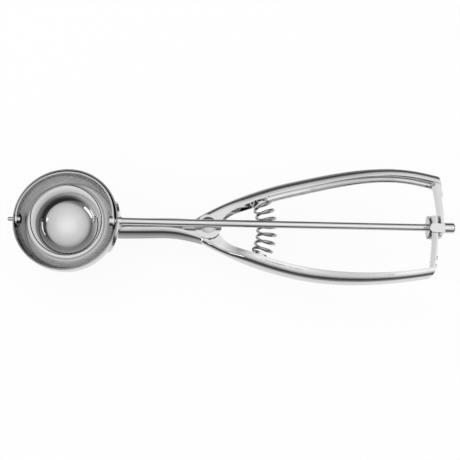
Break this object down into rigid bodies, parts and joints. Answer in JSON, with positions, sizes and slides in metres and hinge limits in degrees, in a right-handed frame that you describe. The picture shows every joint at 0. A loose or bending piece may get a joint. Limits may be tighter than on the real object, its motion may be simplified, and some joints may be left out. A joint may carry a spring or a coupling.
{
  "type": "ice cream scoop",
  "caption": "Hand-held ice cream scoop with a round bowl, a squeeze handle and a rack and pinion that sweeps a curved scraper blade through the bowl.",
  "frame": {"origin": "centre of the bowl's mouth, in the plane of its rim", "axes": "+X along the drive rod towards the rear of the handles, +Y towards the fixed handle, +Z out of the bowl's mouth"},
  "size_m": [0.2212, 0.0578, 0.0352],
  "materials": {
    "polished_sheet": "mirror polished",
    "turned_steel": "polished",
    "gear_steel": "bright, lightly worn",
    "rivet_steel": "polished",
    "spring_steel": "bright drawn wire"
  },
  "bodies": {
    "frame": {"bowl": "polished_sheet", "bowl_saddle": "polished_sheet", "bowl_bush": "turned_steel", "neck": "polished_sheet", "neck_rivet": "rivet_steel", "pivot_rivet": "rivet_steel", "pivot_washer": "rivet_steel", "upper_handle": "polished_sheet", "rear_bracket": "polished_sheet", "bracket_rivets": "rivet_steel", "rear_bush": "turned_steel", "upper_spring_seat": "turned_steel", "return_spring": "spring_steel"},
    "squeeze_handle": {"lower_handle": "polished_sheet", "rack": "gear_steel", "rack_rivets": "rivet_steel", "lower_spring_seat": "turned_steel"},
    "scraper": {"drive_rod": "turned_steel", "pinion": "gear_steel", "pinion_washer": "turned_steel", "rod_end_nut": "turned_steel", "scraper_blade": "polished_sheet", "scraper_rear_hub": "turned_steel", "scraper_front_hub": "turned_steel", "scraper_front_pin": "turned_steel"}
  },
  "joints": [
    {"name": "handle_squeeze", "type": "hinge", "parent": "frame", "child": "squeeze_handle", "pos_m": [0.0703, 0, -0.0114], "axis": [0, 0, 1], "range_deg": [0, 7.8], "stiffness_Nm_per_rad": 2.6, "springref_deg": -17.19, "deforming": ["return_spring"]},
    {"name": "scraper_turn", "type": "hinge", "parent": "frame", "child": "scraper", "pos_m": [0, 0, -0.003], "axis": [1, 0, 0], "range_deg": [-166, 0]}
  ],
  "couplings": [
    {"joint": "scraper_turn", "follows": "handle_squeeze", "ratio": -21.266}
  ]
}
